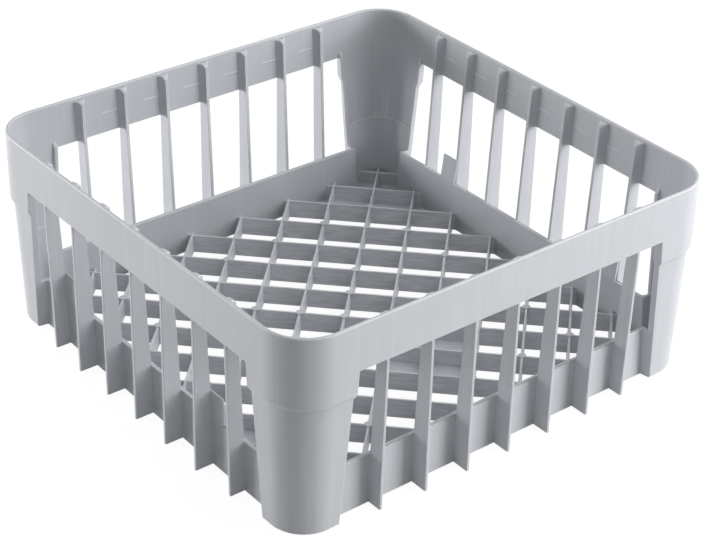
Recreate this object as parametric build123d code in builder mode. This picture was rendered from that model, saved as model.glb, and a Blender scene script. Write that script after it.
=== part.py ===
from build123d import *
import os
from math import radians, sqrt, tan

# Overall size of the basket, measured over the rim
side = 350.0
height = 147.5
corner_radius = 31.0

# Rim: one closed band, with its inner face drafted off the moulding core
rim_height = 33.4
rim_wall = 2.4
rim_edge_chamfer = 0.6
core_draft = 2.2

# Corner posts: a collar flush with the rim, a sloping shoulder, then a drafted leg
post_flat = 17.5
collar_drop = 16.6
shoulder_height = 4.0
shoulder_step = 2.5
shoulder_side_step = 0.9
post_draft = 1.84
slot_taper = 4.0
ledge_rise = 19.4
ledge_width = 1.6
foot_chamfer = 0.8

# Lip: the stiffening return along each slot side of a post
lip_reach = 2.4
lip_wall = 2.6
lip_slant = 9.6
lip_nose_rise = 4.6

# Lower band: an upright skirt set in behind the fins, with free ends in the posts
band_inset = 13.2
band_wall = 2.6
band_height = 38.0
band_overrun = 0.8

# Fins: upright blades that tie the rim to the lower band
fin_pitch = 35.0
fin_outer_wall = 2.2
fin_inner_wall = 2.4
fin_root_wall = 9.0
fin_top_reach = 8.1
nose_drop = 2.0
nose_chamfer = 2.6
end_fin_lean = 2.3

# Tabs: four low plates on the lower band, each beside a fin, thinning towards their tops
tab_fins = (-3, 2)
tab_width = 15.2
tab_fin_overlap = 1.0
tab_rise = 19.3
tab_skirt = 2.0
tab_proud = 0.7
tab_top_wall = 0.9

# Floor: a diagonal lattice of drafted ribs, with round ejector pads on some crossings
rib_pitch = 31.8
ribs_each_way = 5
outer_rib_distance = 188.0
rib_foot_wall = 2.5
rib_draft = 2.4
rib_height = 14.2
pad_diameter = 5.6
pad_height = 0.6
pad_ring = 5
centre_pad_rings = 2
corner_rib_height = 12.0
corner_rib_setback = 5.5

# Closed parts of the floor: one corner, and two plates set by the crossing or cell at their middle
plate_thickness = 1.6
closed_corner_angle = 135
closed_post_depth = 12.0
large_plate_node = (3, 1)
small_plate_cell = (3, -6)

# Heights and lines that follow from the sizes above
half = side / 2
rim_bottom = height - rim_height
collar_bottom = rim_bottom - collar_drop
shoulder_bottom = collar_bottom - shoulder_height
ledge_top = band_height + ledge_rise
arc_centre = half - corner_radius
slot_half = arc_centre - post_flat
band_mid = band_inset + band_wall / 2
floor_half = half - band_inset - band_wall
node_pitch = rib_pitch / sqrt(2)


def core_depth(z):
    """Depth of the drafted inner face behind the rim's outer face."""
    return rim_wall + (height - z) * tan(radians(core_draft))


def leg_depth(z):
    """Depth of a post's outer face below its shoulder."""
    return shoulder_step + (shoulder_bottom - z) * tan(radians(post_draft))


def slot_edge(z):
    """Distance from a wall's middle to the collar's slot edge, which leans outwards going down."""
    return slot_half + (rim_bottom - z) * tan(radians(slot_taper))


def leg_edge(z):
    """Distance from a wall's middle to the slot edge of a post below its shoulder."""
    return slot_edge(z) + shoulder_side_step


def lip_line(z, depth):
    """Distance from a wall's middle to the lip's slot face at a depth behind the rim's face."""
    return leg_edge(z) - (depth - leg_depth(z)) * tan(radians(lip_slant))


def corner_plan(z, outer, inner, lip, edge):
    """Draw the plan of the post in the +X +Y corner at one height."""
    slant = tan(radians(lip_slant))
    tip = edge - (lip - outer) * slant
    root = tip + lip_wall + (lip - inner) * slant
    wall_side = [
        (arc_centre, half - outer),
        (edge, half - outer),
        (tip, half - lip),
        (tip + lip_wall, half - lip),
        (root, half - inner),
        (arc_centre, half - inner),
    ]
    with BuildSketch(Plane.XY.offset(z)) as plan:
        with BuildLine():
            Polyline(*wall_side)
            Polyline(*[(y, x) for x, y in wall_side])
            CenterArc((arc_centre, arc_centre), corner_radius - outer, 0, 90)
            CenterArc((arc_centre, arc_centre), corner_radius - inner, 0, 90)
        make_face()
    return plan.sketch


def leg_plan(z, inner, lip):
    """Draw the plan of a post below its shoulder."""
    return corner_plan(z, leg_depth(z), inner, lip, leg_edge(z))


def collar_plan(z):
    """Draw the plan of a post's collar."""
    return corner_plan(z, 0, core_depth(z), core_depth(z) + lip_reach, slot_edge(z))


# One corner post, lofted from plan to plan: skirt, ledge, leg, shoulder and collar
with BuildPart() as post:
    skirt_foot = core_depth(0) + ledge_width
    skirt_head = core_depth(band_height) + ledge_width
    skirt_head_lip = core_depth(band_height) + lip_reach
    ledge_core = core_depth(ledge_top)
    ledge_lip = ledge_core + lip_reach
    shoulder_core = core_depth(shoulder_bottom)
    leg_head = leg_plan(shoulder_bottom, shoulder_core, shoulder_core + lip_reach)
    collar_foot = collar_plan(collar_bottom)
    loft([leg_plan(0, skirt_foot, band_mid), leg_plan(band_height, skirt_head, band_mid)], ruled=True)
    foot_arcs = post.edges().group_by(Axis.Z)[0].filter_by(GeomType.CIRCLE)
    chamfer(foot_arcs.sort_by(SortBy.RADIUS)[-1], foot_chamfer)
    loft([leg_plan(band_height, skirt_head, skirt_head_lip),
          leg_plan(ledge_top, ledge_core + ledge_width, ledge_lip)], ruled=True)
    loft([leg_plan(ledge_top, ledge_core, ledge_lip), leg_head], ruled=True)
    loft([leg_head, collar_foot], ruled=True)
    loft([collar_foot, collar_plan(rim_bottom)], ruled=True)


def lip_end(z, depth, reach):
    """Draw the plan of the lip alone at one height, from a depth inside the rim's wall."""
    slant = tan(radians(lip_slant))
    foot = slot_edge(rim_bottom) - depth * slant
    tip = slot_edge(rim_bottom) - reach * slant
    with BuildSketch(Plane.XY.offset(z)) as plan:
        with BuildLine():
            Polyline(
                (foot, half - depth),
                (tip, half - reach),
                (tip + lip_wall, half - reach),
                (foot + lip_wall, half - depth),
                close=True,
            )
        make_face()
    return plan.sketch


# The nose in which a lip runs out on the inside of the rim, and its twin across the corner
with BuildPart() as lip_noses:
    nose_top = rim_bottom + lip_nose_rise
    loft([lip_end(rim_bottom, rim_wall / 2, core_depth(rim_bottom) + lip_reach),
          lip_end(nose_top, rim_wall / 2, core_depth(nose_top) + lip_reach / 4)], ruled=True)
    mirror(about=Plane((0, 0, 0), x_dir=(1, 1, 0), z_dir=(1, -1, 0)))


def wall_fin(lean):
    """Make one fin of the -Y wall at mid wall; its outer edge leans inwards by lean at the foot."""
    root_tip_wall = fin_outer_wall + (fin_inner_wall - fin_outer_wall) * fin_top_reach / band_mid
    with BuildPart() as fin:
        with BuildSketch() as blade_plan:
            with BuildLine():
                Polyline(
                    (-fin_outer_wall / 2, -half),
                    (fin_outer_wall / 2, -half),
                    (fin_inner_wall / 2, band_mid - half),
                    (-fin_inner_wall / 2, band_mid - half),
                    close=True,
                )
            make_face()
        extrude(amount=height)
        with BuildSketch(Plane.XY.offset(rim_bottom)) as root_plan:
            with BuildLine():
                Polyline(
                    (-fin_root_wall / 2, rim_wall / 2 - half),
                    (fin_root_wall / 2, rim_wall / 2 - half),
                    (fin_root_wall / 2, rim_wall - half),
                    (root_tip_wall / 2, fin_top_reach - half),
                    (-root_tip_wall / 2, fin_top_reach - half),
                    (-fin_root_wall / 2, rim_wall - half),
                    close=True,
                )
            make_face()
        extrude(amount=rim_height)
        with BuildSketch(Plane.YZ) as blade_side:
            with BuildLine():
                Polyline(
                    (lean - half, 0),
                    (-half, rim_bottom),
                    (rim_wall / 2 - half, rim_bottom),
                    (rim_wall / 2 - half, height - nose_drop),
                    (fin_top_reach - half, height - nose_drop),
                    (band_inset - half, band_height),
                    (band_mid - half, band_height - band_wall / 2),
                    (band_mid - half, 0),
                    close=True,
                )
            make_face()
            chamfer(blade_side.vertices().group_by(Axis.Y)[-1].sort_by(Axis.X)[-1], nose_chamfer)
        extrude(amount=fin_root_wall, both=True, mode=Mode.INTERSECT)
    return fin.part


# The fins of one wall, from the middle outwards; the two end fins lean
middle_fin = wall_fin(0)
end_fin = wall_fin(end_fin_lean)
fins_each_way = int(slot_half / fin_pitch)
fin_places = [i * fin_pitch for i in range(1 - fins_each_way, fins_each_way)]
end_fin_places = [-fins_each_way * fin_pitch, fins_each_way * fin_pitch]

# The lower band of the -Y wall
with BuildPart() as band:
    with BuildSketch(Plane.XZ.offset(half - band_inset)) as band_face:
        with BuildLine():
            foot_end = lip_line(0, band_mid) + lip_wall + band_overrun
            head_end = lip_line(band_height, band_mid) + lip_wall + band_overrun
            Polyline(
                (-foot_end, 0),
                (foot_end, 0),
                (head_end, band_height),
                (-head_end, band_height),
                close=True,
            )
        make_face()
    extrude(amount=-band_wall)

# One tab of the -Y wall, at mid wall
with BuildPart() as tab:
    with BuildSketch(Plane.YZ.offset(-tab_fin_overlap)) as tab_side:
        with BuildLine():
            tab_face = band_inset - tab_proud - half
            Polyline(
                (tab_face, band_height - tab_skirt),
                (-floor_half, band_height - tab_skirt),
                (-floor_half, band_height),
                (tab_face + tab_top_wall, band_height + tab_rise),
                (tab_face, band_height + tab_rise),
                close=True,
            )
        make_face()
    extrude(amount=tab_width)

# One floor rib along X, long enough to reach into two opposite posts
foot_mid = (leg_depth(0) + core_depth(0) + ledge_width) / 2
with BuildPart() as rib:
    with BuildSketch(Plane.YZ) as rib_section:
        Trapezoid(rib_foot_wall, rib_height, 90 - rib_draft, align=(Align.CENTER, Align.MIN))
    extrude(amount=sqrt(2) * arc_centre + corner_radius - foot_mid, both=True)

# The lattice of ribs, cut off in the lower bands, apart from the two that run on into the posts
with BuildPart() as lattice:
    inner_ribs = [k * rib_pitch for k in range(-ribs_each_way, ribs_each_way + 1)]
    with PolarLocations(0, 2, start_angle=45, angular_range=180):
        with Locations(*[(0, y) for y in inner_ribs + [-outer_rib_distance, outer_rib_distance]]):
            add(rib.part)
    with BuildSketch() as floor_plan:
        Rectangle(2 * floor_half + band_wall, 2 * floor_half + band_wall)
    extrude(amount=rib_height, mode=Mode.INTERSECT)
    with PolarLocations(0, 2, start_angle=45, angular_range=180):
        add(rib.part)

# The whole basket
with BuildPart() as basket:
    # Rim, with its top edges broken outside and inside
    edge_break = min(rim_edge_chamfer, 0.4 * rim_wall)
    mouth_inset = rim_wall - edge_break
    with BuildSketch(Plane.XY.offset(height)) as rim_plan:
        RectangleRounded(side, side, corner_radius)
    extrude(amount=-rim_height)
    chamfer(basket.edges().group_by(Axis.Z)[-1], edge_break)
    with BuildSketch(Plane.XY.offset(height)) as core_plan:
        RectangleRounded(side - 2 * rim_wall, side - 2 * rim_wall, corner_radius - rim_wall)
    extrude(amount=-rim_height, taper=core_draft, mode=Mode.SUBTRACT)
    with BuildSketch(Plane.XY.offset(height)) as mouth_plan:
        RectangleRounded(side - 2 * mouth_inset, side - 2 * mouth_inset, corner_radius - mouth_inset)
    extrude(amount=-rim_wall, taper=45, mode=Mode.SUBTRACT)

    # Fins, lower bands and tabs
    with PolarLocations(0, 4):
        add(band.part)
        with Locations(*[(x, 0) for x in fin_places]):
            add(middle_fin)
        with Locations(*[(x, 0) for x in end_fin_places]):
            add(end_fin)
    with PolarLocations(0, 2):
        with Locations(*[(i * fin_pitch, 0) for i in tab_fins]):
            add(tab.part)

    # Lattice floor with its ejector pads
    add(lattice.part)
    ring_steps = range(-pad_ring, pad_ring + 1, 2)
    centre_steps = range(-centre_pad_rings, centre_pad_rings + 1)
    ring_nodes = [(i, j) for i in ring_steps for j in ring_steps if max(abs(i), abs(j)) == pad_ring]
    centre_nodes = [(i, j) for i in centre_steps for j in centre_steps if abs(i) == abs(j)]
    with BuildSketch(Plane.XY.offset(rib_height)) as pads:
        with Locations(*[(i * node_pitch, j * node_pitch) for i, j in ring_nodes + centre_nodes]):
            Circle(pad_diameter / 2)
    extrude(amount=pad_height)

    # Short cross ribs inside the posts
    cross_distance = sqrt(2) * floor_half - corner_rib_setback
    cross_half = sqrt(2) * (half - foot_mid) - cross_distance
    with BuildSketch() as cross_ribs:
        with PolarLocations(cross_distance, 4, start_angle=45):
            Rectangle(rib_foot_wall, 2 * cross_half)
    extrude(amount=corner_rib_height)

    # Closed parts of the floor: the bottom of one post, the corner in front of it and the two plates
    with BuildSketch() as closed_post:
        RectangleRounded(2 * (half - foot_mid), 2 * (half - foot_mid), corner_radius - foot_mid)
        with PolarLocations(sqrt(2) * floor_half, 1, start_angle=closed_corner_angle):
            Rectangle(2 * closed_post_depth, 4 * cross_half, mode=Mode.INTERSECT)
    extrude(amount=plate_thickness)
    with BuildSketch() as closed_cells:
        corner_depth = sqrt(2) * floor_half - ribs_each_way * rib_pitch
        with PolarLocations(sqrt(2) * floor_half, 1, start_angle=closed_corner_angle):
            Rectangle(2 * corner_depth, 2 * corner_depth)
        Rectangle(2 * floor_half + band_wall, 2 * floor_half + band_wall, mode=Mode.INTERSECT)
        with Locations((large_plate_node[0] * node_pitch, large_plate_node[1] * node_pitch)):
            Rectangle(2 * rib_pitch, 2 * rib_pitch, rotation=45)
        with Locations((small_plate_cell[0] * node_pitch, small_plate_cell[1] * node_pitch)):
            Rectangle(rib_pitch, rib_pitch, rotation=45)
    extrude(amount=plate_thickness)

    # Corner posts
    with PolarLocations(0, 4):
        add(post.part)
        add(lip_noses.part)

basket.part.label = "basket"
os.makedirs("parts", exist_ok=True)
export_step(basket.part, "parts/basket.step")
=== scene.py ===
from math import cos, radians, sin

import bmesh
import bpy
from mathutils import Matrix, Vector


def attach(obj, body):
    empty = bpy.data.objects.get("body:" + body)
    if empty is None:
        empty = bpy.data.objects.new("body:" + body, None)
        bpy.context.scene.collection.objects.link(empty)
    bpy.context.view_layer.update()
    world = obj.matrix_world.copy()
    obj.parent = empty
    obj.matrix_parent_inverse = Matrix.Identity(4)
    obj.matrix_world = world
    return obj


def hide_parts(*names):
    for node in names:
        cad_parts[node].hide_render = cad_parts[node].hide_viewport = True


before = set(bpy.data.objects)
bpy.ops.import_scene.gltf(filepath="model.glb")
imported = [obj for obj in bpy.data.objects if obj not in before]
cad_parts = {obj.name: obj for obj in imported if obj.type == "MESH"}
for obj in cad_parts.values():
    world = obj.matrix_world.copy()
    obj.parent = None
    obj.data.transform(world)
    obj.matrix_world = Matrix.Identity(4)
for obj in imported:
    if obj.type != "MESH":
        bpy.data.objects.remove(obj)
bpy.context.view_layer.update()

# Basket
# One injection moulding of grey polypropylene: rim band, corner posts, fins, lower bands and lattice floor.
# The skin is satin, with clouds where the melt flowed, upright draw marks on the walls and level cutter marks
# on the floor ribs, which are also painted lighter to stand in for light. The mould's edges are broken, so
# the long edges of the basket have a small rounding with a painted highlight.
GREY = (0.550, 0.566, 0.594)
PLASTIC_IOR = 1.49
NOISE_SPREAD = (0.3, 0.7)
CLOUD_SCALE = 14.0
CLOUD_DETAIL = 5.0
CLOUD_SHADES = (0.97, 1.025)
SATIN_ROUGHNESS = (0.44, 0.54)
DRAW_MARKS = (420.0, 420.0, 9.0)
DRAW_DETAIL = 2.0
DRAW_SHADES = (0.975, 1.02)
CUTTER_MARKS = (70.0, 70.0, 560.0)
CUTTER_DETAIL = 3.0
# Lighter than the walls on average: besides the cutter streaks, this paints light onto the shaded sides of
# the floor ribs.
CUTTER_MARKS_AND_RIB_LIGHT = (0.95, 1.23)
RIB_ZONE = (0.0145, 0.0165)
BAND_ZONE = (0.1580, 0.1588)
# Painted highlight: the rounded edges and the seam ridges are made this much lighter than the rest of the
# skin.
EDGE_HIGHLIGHT_GAIN = 0.16
GRAIN_SCALE = 900.0
GRAIN_DETAIL = 2.0
GRAIN_STRENGTH = 0.08
GRAIN_DEPTH = 0.0002


def grey_plastic():
    material = bpy.data.materials.new("grey_plastic")
    material.use_nodes = True
    nodes = material.node_tree.nodes
    links = material.node_tree.links
    shader = nodes["Principled BSDF"]
    shader.inputs["IOR"].default_value = PLASTIC_IOR
    place = nodes.new("ShaderNodeTexCoord")

    def marks(scale, detail):
        stretched = nodes.new("ShaderNodeMapping")
        stretched.inputs["Scale"].default_value = scale
        links.new(place.outputs["Object"], stretched.inputs["Vector"])
        noise = nodes.new("ShaderNodeTexNoise")
        noise.inputs["Scale"].default_value = 1.0
        noise.inputs["Detail"].default_value = detail
        links.new(stretched.outputs["Vector"], noise.inputs["Vector"])
        return noise.outputs["Fac"]

    def spread(value, measured, wanted):
        ramp = nodes.new("ShaderNodeMapRange")
        ramp.inputs["From Min"].default_value = measured[0]
        ramp.inputs["From Max"].default_value = measured[1]
        ramp.inputs["To Min"].default_value = wanted[0]
        ramp.inputs["To Max"].default_value = wanted[1]
        links.new(value, ramp.inputs["Value"])
        return ramp.outputs["Result"]

    def joined(operation, first, second):
        result = nodes.new("ShaderNodeMath")
        result.operation = operation
        links.new(first, result.inputs[0])
        links.new(second, result.inputs[1])
        return result.outputs["Value"]

    heights = nodes.new("ShaderNodeSeparateXYZ")
    links.new(place.outputs["Object"], heights.inputs["Vector"])
    plan = nodes.new("ShaderNodeVectorMath")
    plan.operation = "ABSOLUTE"
    links.new(place.outputs["Object"], plan.inputs[0])
    sides = nodes.new("ShaderNodeSeparateXYZ")
    links.new(plan.outputs["Vector"], sides.inputs["Vector"])
    from_centre = joined("MAXIMUM", sides.outputs["X"], sides.outputs["Y"])
    above_ribs = spread(heights.outputs["Z"], RIB_ZONE, (0, 1))
    off_ribs = joined("MAXIMUM", above_ribs, spread(from_centre, BAND_ZONE, (0, 1)))
    # The floor ribs take the lighter cutter shades, which carry painted light as well as streaks; the walls
    # take the draw marks.
    streaks_and_rib_light = nodes.new("ShaderNodeMix")
    streaks_and_rib_light.data_type = "FLOAT"
    links.new(off_ribs, streaks_and_rib_light.inputs["Factor"])
    links.new(spread(marks(CUTTER_MARKS, CUTTER_DETAIL), NOISE_SPREAD, CUTTER_MARKS_AND_RIB_LIGHT), streaks_and_rib_light.inputs["A"])
    links.new(spread(marks(DRAW_MARKS, DRAW_DETAIL), NOISE_SPREAD, DRAW_SHADES), streaks_and_rib_light.inputs["B"])
    clouds = marks((CLOUD_SCALE,) * 3, CLOUD_DETAIL)
    shade = joined("MULTIPLY", spread(clouds, NOISE_SPREAD, CLOUD_SHADES), streaks_and_rib_light.outputs["Result"])
    # Painted highlight: faces marked as rounded edges get a lighter colour.
    edges = nodes.new("ShaderNodeAttribute")
    edges.attribute_name = "painted_edge_highlight"
    shade = joined("MULTIPLY", shade, spread(edges.outputs["Fac"], (0, 1), (1, 1 + EDGE_HIGHLIGHT_GAIN)))
    tint = nodes.new("ShaderNodeVectorMath")
    tint.operation = "SCALE"
    tint.inputs[0].default_value = GREY
    links.new(shade, tint.inputs["Scale"])
    links.new(tint.outputs["Vector"], shader.inputs["Base Color"])
    links.new(spread(clouds, NOISE_SPREAD, SATIN_ROUGHNESS), shader.inputs["Roughness"])

    grain = nodes.new("ShaderNodeBump")
    grain.inputs["Strength"].default_value = GRAIN_STRENGTH
    grain.inputs["Distance"].default_value = GRAIN_DEPTH
    links.new(marks((GRAIN_SCALE,) * 3, GRAIN_DETAIL), grain.inputs["Height"])
    links.new(grain.outputs["Normal"], shader.inputs["Normal"])
    return material


EDGE_ROUNDING = 0.0009
ROUNDING_STEPS = 3
WALL_SHARE = 0.55
RIB_SHARE = 0.28
NOSE_SHARE = 1.0
FOOT_LEVEL = 0.0002
RIB_LEVEL = (0.0130, 0.0150)
NOSE_LEVEL = (0.1420, 0.1460)
NOSE_REACH = 0.1726
TAB_STARTS = (-0.1062, 0.0688)
TAB_WIDTH = 0.0156
TAB_LEVEL = (0.0360, 0.0585)
TAB_FACE = 0.1570
MERGE_DISTANCE = 2e-6
FLAT_ANGLE = radians(1.2)
FLAT_AREA = 1e-5
EDGE_ANGLE = radians(30)
SHARP_ANGLE = radians(38)
SHORTEST_ROUNDED = 0.0025


def beside_tab(corner):
    along = corner.co.x if corner.co.y < 0 else -corner.co.x
    on_tab = any(start < along < start + TAB_WIDTH for start in TAB_STARTS)
    return on_tab and abs(corner.co.y) > TAB_FACE and TAB_LEVEL[0] < corner.co.z < TAB_LEVEL[1]


def rounding_share(edge):
    if len(edge.link_faces) != 2 or edge.calc_length() < SHORTEST_ROUNDED:
        return 0.0
    if edge.calc_face_angle_signed() < EDGE_ANGLE:
        return 0.0
    middle = (edge.verts[0].co + edge.verts[1].co) / 2
    if middle.z < FOOT_LEVEL or any(beside_tab(corner) for corner in edge.verts):
        return 0.0
    if RIB_LEVEL[0] < middle.z < RIB_LEVEL[1]:
        return RIB_SHARE
    if NOSE_LEVEL[0] < middle.z < NOSE_LEVEL[1] and max(abs(middle.x), abs(middle.y)) < NOSE_REACH:
        return NOSE_SHARE
    return WALL_SHARE


basket_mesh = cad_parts["basket"].data.copy()
basket_mesh.name = "basket_skin"
skin = bmesh.new()
skin.from_mesh(basket_mesh)
bmesh.ops.remove_doubles(skin, verts=skin.verts, dist=MERGE_DISTANCE)
upper_edges = [edge for edge in skin.edges if max(corner.co.z for corner in edge.verts) > FOOT_LEVEL]
upper_corners = [corner for corner in skin.verts if corner.co.z > FOOT_LEVEL]
bmesh.ops.dissolve_limit(skin, angle_limit=FLAT_ANGLE, verts=upper_corners, edges=upper_edges)
share = skin.edges.layers.float.new("bevel_weight_edge")
for edge in skin.edges:
    edge[share] = rounding_share(edge)
skin.to_mesh(basket_mesh)
skin.free()

# The second slot holds the same plastic: it only marks the rounded faces, which get a painted highlight that
# makes the edges lighter.
plastic = grey_plastic()
basket_mesh.materials.clear()
basket_mesh.materials.append(plastic)
basket_mesh.materials.append(plastic)
basket = bpy.data.objects.new("basket_skin", basket_mesh)
bpy.context.scene.collection.objects.link(basket)
rounding = basket.modifiers.new("rounding", "BEVEL")
rounding.width = EDGE_ROUNDING
rounding.segments = ROUNDING_STEPS
rounding.limit_method = "WEIGHT"
rounding.use_clamp_overlap = False
rounding.material = 1
rounded = bpy.data.meshes.new_from_object(basket.evaluated_get(bpy.context.evaluated_depsgraph_get()))
basket.modifiers.clear()
# Marks the rounded faces for the painted edge highlight.
highlight_marks = rounded.attributes.new("painted_edge_highlight", "FLOAT", "FACE")
highlight_marks.data.foreach_set("value", [face.material_index for face in rounded.polygons])
rounded.polygons.foreach_set("material_index", [0] * len(rounded.polygons))
rounded.shade_smooth()
rounded.set_sharp_from_angle(angle=SHARP_ANGLE)
for face in rounded.polygons:
    if face.center.z < RIB_LEVEL[1] and face.area > FLAT_AREA:
        face.use_smooth = False
basket.data = rounded

evening = basket.modifiers.new("evening", "WEIGHTED_NORMAL")
evening.keep_sharp = True
evened = bpy.data.meshes.new_from_object(basket.evaluated_get(bpy.context.evaluated_depsgraph_get()))
basket.modifiers.clear()
basket.data = evened
evened.materials.clear()
evened.materials.append(plastic)
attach(basket, "root")
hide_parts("basket")

# Seam ridges
# Thin lines of flash on the inner face of the rim, in one half of each bay between the fins.
# They are of the same plastic, left where the inserts of the mould met, and stand about 0.3 mm proud.
FIN_PITCH = 0.035
RIM_FACE = 0.17191
RIDGE_LENGTH = 0.0175
RIDGE_RADIUS = 0.0007
RIDGE_DEPTH = 0.0003
RIDGE_LEVEL = 0.1295
RIDGE_SIDES = 10
RIDGES_PER_WALL = 6
PLAIN_WALL_START = -2.5 * FIN_PITCH
TAB_WALL_START = -3 * FIN_PITCH


def ridge_row():
    tree = bpy.data.node_groups.new("ridge_row", "GeometryNodeTree")
    tree.interface.new_socket("Geometry", in_out="OUTPUT", socket_type="NodeSocketGeometry")
    sockets = {}
    for name, kind in [("Count", "NodeSocketInt"), ("Pitch", "NodeSocketVector"),
                       ("Start", "NodeSocketVector"), ("Run", "NodeSocketVector"),
                       ("Radius", "NodeSocketFloat"), ("Sides", "NodeSocketInt"),
                       ("Plastic", "NodeSocketMaterial")]:
        sockets[name] = tree.interface.new_socket(name, in_out="INPUT", socket_type=kind)
    nodes = tree.nodes
    links = tree.links
    given = nodes.new("NodeGroupInput")
    row = nodes.new("GeometryNodeMeshLine")
    links.new(given.outputs["Count"], row.inputs["Count"])
    links.new(given.outputs["Start"], row.inputs["Start Location"])
    links.new(given.outputs["Pitch"], row.inputs["Offset"])
    line = nodes.new("GeometryNodeCurvePrimitiveLine")
    links.new(given.outputs["Run"], line.inputs["End"])
    outline = nodes.new("GeometryNodeCurvePrimitiveCircle")
    links.new(given.outputs["Sides"], outline.inputs["Resolution"])
    links.new(given.outputs["Radius"], outline.inputs["Radius"])
    bar = nodes.new("GeometryNodeCurveToMesh")
    bar.inputs["Fill Caps"].default_value = True
    links.new(line.outputs["Curve"], bar.inputs["Curve"])
    links.new(outline.outputs["Curve"], bar.inputs["Profile Curve"])
    bars = nodes.new("GeometryNodeInstanceOnPoints")
    links.new(row.outputs["Mesh"], bars.inputs["Points"])
    links.new(bar.outputs["Mesh"], bars.inputs["Instance"])
    real = nodes.new("GeometryNodeRealizeInstances")
    links.new(bars.outputs["Instances"], real.inputs["Geometry"])
    coat = nodes.new("GeometryNodeSetMaterial")
    links.new(real.outputs["Geometry"], coat.inputs["Geometry"])
    links.new(given.outputs["Plastic"], coat.inputs["Material"])
    made = nodes.new("NodeGroupOutput")
    links.new(coat.outputs["Geometry"], made.inputs["Geometry"])
    return tree, {name: socket.identifier for name, socket in sockets.items()}


row_tree, row_inputs = ridge_row()
ridge_axis = RIM_FACE + RIDGE_DEPTH
ridge = {"Count": RIDGES_PER_WALL, "Radius": RIDGE_RADIUS, "Sides": RIDGE_SIDES, "Plastic": plastic}
rows = []
for turn in (1, -1):
    rows.append({"Start": (-turn * ridge_axis, turn * PLAIN_WALL_START, RIDGE_LEVEL),
                 "Pitch": (0, turn * FIN_PITCH, 0), "Run": (0, turn * RIDGE_LENGTH, 0)})
    rows.append({"Start": (turn * TAB_WALL_START, turn * ridge_axis, RIDGE_LEVEL),
                 "Pitch": (turn * FIN_PITCH, 0, 0), "Run": (turn * RIDGE_LENGTH, 0, 0)})
flash = bmesh.new()
for row in rows:
    maker = bpy.data.objects.new("ridge_maker", bpy.data.meshes.new("ridge_maker"))
    bpy.context.scene.collection.objects.link(maker)
    nodes_maker = maker.modifiers.new("ridge_row", "NODES")
    nodes_maker.node_group = row_tree
    for name, value in {**row, **ridge}.items():
        nodes_maker[row_inputs[name]] = value
    made = bpy.data.meshes.new_from_object(maker.evaluated_get(bpy.context.evaluated_depsgraph_get()))
    maker.modifiers.clear()
    bpy.data.objects.remove(maker)
    flash.from_mesh(made)
bmesh.ops.recalc_face_normals(flash, faces=flash.faces)
for side in flash.faces:
    side.smooth = len(side.verts) == 4
ridge_mesh = bpy.data.meshes.new("seam_ridges")
flash.to_mesh(ridge_mesh)
flash.free()
ridge_mesh.materials.append(plastic)
# The whole ridge takes the painted edge highlight, so it shows as a light line.
highlight_marks = ridge_mesh.attributes.new("painted_edge_highlight", "FLOAT", "FACE")
highlight_marks.data.foreach_set("value", [1.0] * len(ridge_mesh.polygons))
ridges = bpy.data.objects.new("seam_ridges", ridge_mesh)
bpy.context.scene.collection.objects.link(ridges)
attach(ridges, "root")

# Floor and backdrop
# A plain white table under the basket, which runs on into a white room.
# The camera sees it almost white; the basket's shadow stays as a faint grey.
TABLE_HALF = 6.0
TABLE_LEVEL = -0.0005
TABLE_SHADE = 0.55
SHADOW_SHADE = 0.12
TABLE_GLOW = 0.93
SKY_LEVEL = 0.57
BACKDROP_LEVEL = 1.0


def background_rays(nodes, links):
    ray = nodes.new("ShaderNodeLightPath")
    reached = ray.outputs["Is Camera Ray"]
    for kind in ("Is Glossy Ray", "Is Transmission Ray"):
        either = nodes.new("ShaderNodeMath")
        either.operation = "MAXIMUM"
        links.new(reached, either.inputs[0])
        links.new(ray.outputs[kind], either.inputs[1])
        reached = either.outputs["Value"]
    return reached


def white_paper():
    material = bpy.data.materials.new("white_paper")
    material.use_nodes = True
    nodes = material.node_tree.nodes
    links = material.node_tree.links
    nodes.remove(nodes["Principled BSDF"])
    matt = nodes.new("ShaderNodeBsdfDiffuse")
    matt.inputs["Color"].default_value = (TABLE_SHADE, TABLE_SHADE, TABLE_SHADE, 1)
    shadowed = nodes.new("ShaderNodeBsdfDiffuse")
    shadowed.inputs["Color"].default_value = (SHADOW_SHADE, SHADOW_SHADE, SHADOW_SHADE, 1)
    glow = nodes.new("ShaderNodeEmission")
    glow.inputs["Strength"].default_value = TABLE_GLOW
    bright = nodes.new("ShaderNodeAddShader")
    links.new(shadowed.outputs["BSDF"], bright.inputs[0])
    links.new(glow.outputs["Emission"], bright.inputs[1])
    choice = nodes.new("ShaderNodeMixShader")
    links.new(background_rays(nodes, links), choice.inputs["Fac"])
    links.new(matt.outputs["BSDF"], choice.inputs[1])
    links.new(bright.outputs["Shader"], choice.inputs[2])
    links.new(choice.outputs["Shader"], nodes["Material Output"].inputs["Surface"])
    return material


def white_room():
    room = bpy.data.worlds.new("white_room")
    room.use_nodes = True
    nodes = room.node_tree.nodes
    links = room.node_tree.links
    air = nodes["Background"]
    air.inputs["Color"].default_value = (1, 1, 1, 1)
    place = nodes.new("ShaderNodeTexCoord")
    split = nodes.new("ShaderNodeSeparateXYZ")
    links.new(place.outputs["Generated"], split.inputs["Vector"])
    rise = nodes.new("ShaderNodeMath")
    rise.operation = "MULTIPLY"
    rise.use_clamp = True
    rise.inputs[1].default_value = SKY_LEVEL
    links.new(split.outputs["Z"], rise.inputs[0])
    level = nodes.new("ShaderNodeMix")
    level.data_type = "FLOAT"
    level.inputs["B"].default_value = BACKDROP_LEVEL
    links.new(background_rays(nodes, links), level.inputs["Factor"])
    links.new(rise.outputs["Value"], level.inputs["A"])
    links.new(level.outputs["Result"], air.inputs["Strength"])
    return room


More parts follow.
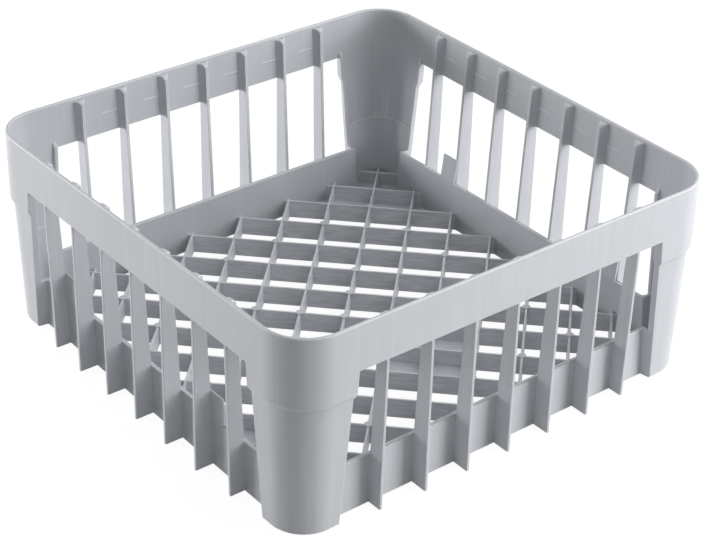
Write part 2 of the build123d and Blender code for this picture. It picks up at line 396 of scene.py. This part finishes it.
table_mesh = bpy.data.meshes.new("table")
table_mesh.from_pydata(
    [(-TABLE_HALF, -TABLE_HALF, 0), (TABLE_HALF, -TABLE_HALF, 0),
     (TABLE_HALF, TABLE_HALF, 0), (-TABLE_HALF, TABLE_HALF, 0)], [], [(0, 1, 2, 3)])
table_mesh.materials.append(white_paper())
table = bpy.data.objects.new("table", table_mesh)
table.location.z = TABLE_LEVEL
bpy.context.scene.collection.objects.link(table)
bpy.context.scene.world = white_room()

# Camera
# It looks down at the corner between two walls from about one and a half metres away.
# The long lens keeps the walls nearly parallel, and the picture is turned a little to the side.
CAMERA_PLACE = Vector((0.9313, -0.7423, 0.7785))
CAMERA_AIM = Vector((0.0349, -0.0193, 0.0750))
CAMERA_ROLL = radians(1.403)
CAMERA_LENS = 101.5
CAMERA_SENSOR = 36

camera_data = bpy.data.cameras.new("camera")
camera_data.lens = CAMERA_LENS
camera_data.sensor_width = CAMERA_SENSOR
camera = bpy.data.objects.new("camera", camera_data)
look = (CAMERA_AIM - CAMERA_PLACE).to_track_quat("-Z", "Y").to_matrix().to_4x4()
camera.matrix_world = Matrix.Translation(CAMERA_PLACE) @ look @ Matrix.Rotation(CAMERA_ROLL, 4, "Z")
bpy.context.scene.collection.objects.link(camera)
bpy.context.scene.camera = camera

# Lamps
# Soft boxes stand square to the camera's line on both sides, so the post that faces it falls off darker.
# The right-hand side is stronger, with a low box on the outer wall and a high one that reaches inside.
VIEW_TURN = -radians(38.8)
LAMP_AIM = Vector((0, 0, 0.07))


def soft_box(name, off_view, distance, height, size, watts):
    lamp_data = bpy.data.lights.new(name, "AREA")
    lamp_data.shape = "RECTANGLE"
    lamp_data.size = size[0]
    lamp_data.size_y = size[1]
    lamp_data.energy = watts
    lamp = bpy.data.objects.new(name, lamp_data)
    turn = VIEW_TURN + radians(off_view)
    lamp.location = (distance * cos(turn), distance * sin(turn), height)
    lamp.rotation_euler = (LAMP_AIM - lamp.location).to_track_quat("-Z", "Y").to_euler()
    bpy.context.scene.collection.objects.link(lamp)


soft_box("right_low_box", off_view=77, distance=1.5, height=0.3, size=(0.8, 0.6), watts=12.5)
soft_box("right_high_box", off_view=91, distance=1.3, height=1.1, size=(1.6, 1.4), watts=16.5)
soft_box("left_box", off_view=-102, distance=1.5, height=0.24, size=(0.9, 0.45), watts=18.0)

bpy.context.scene.view_settings.view_transform = "Standard"
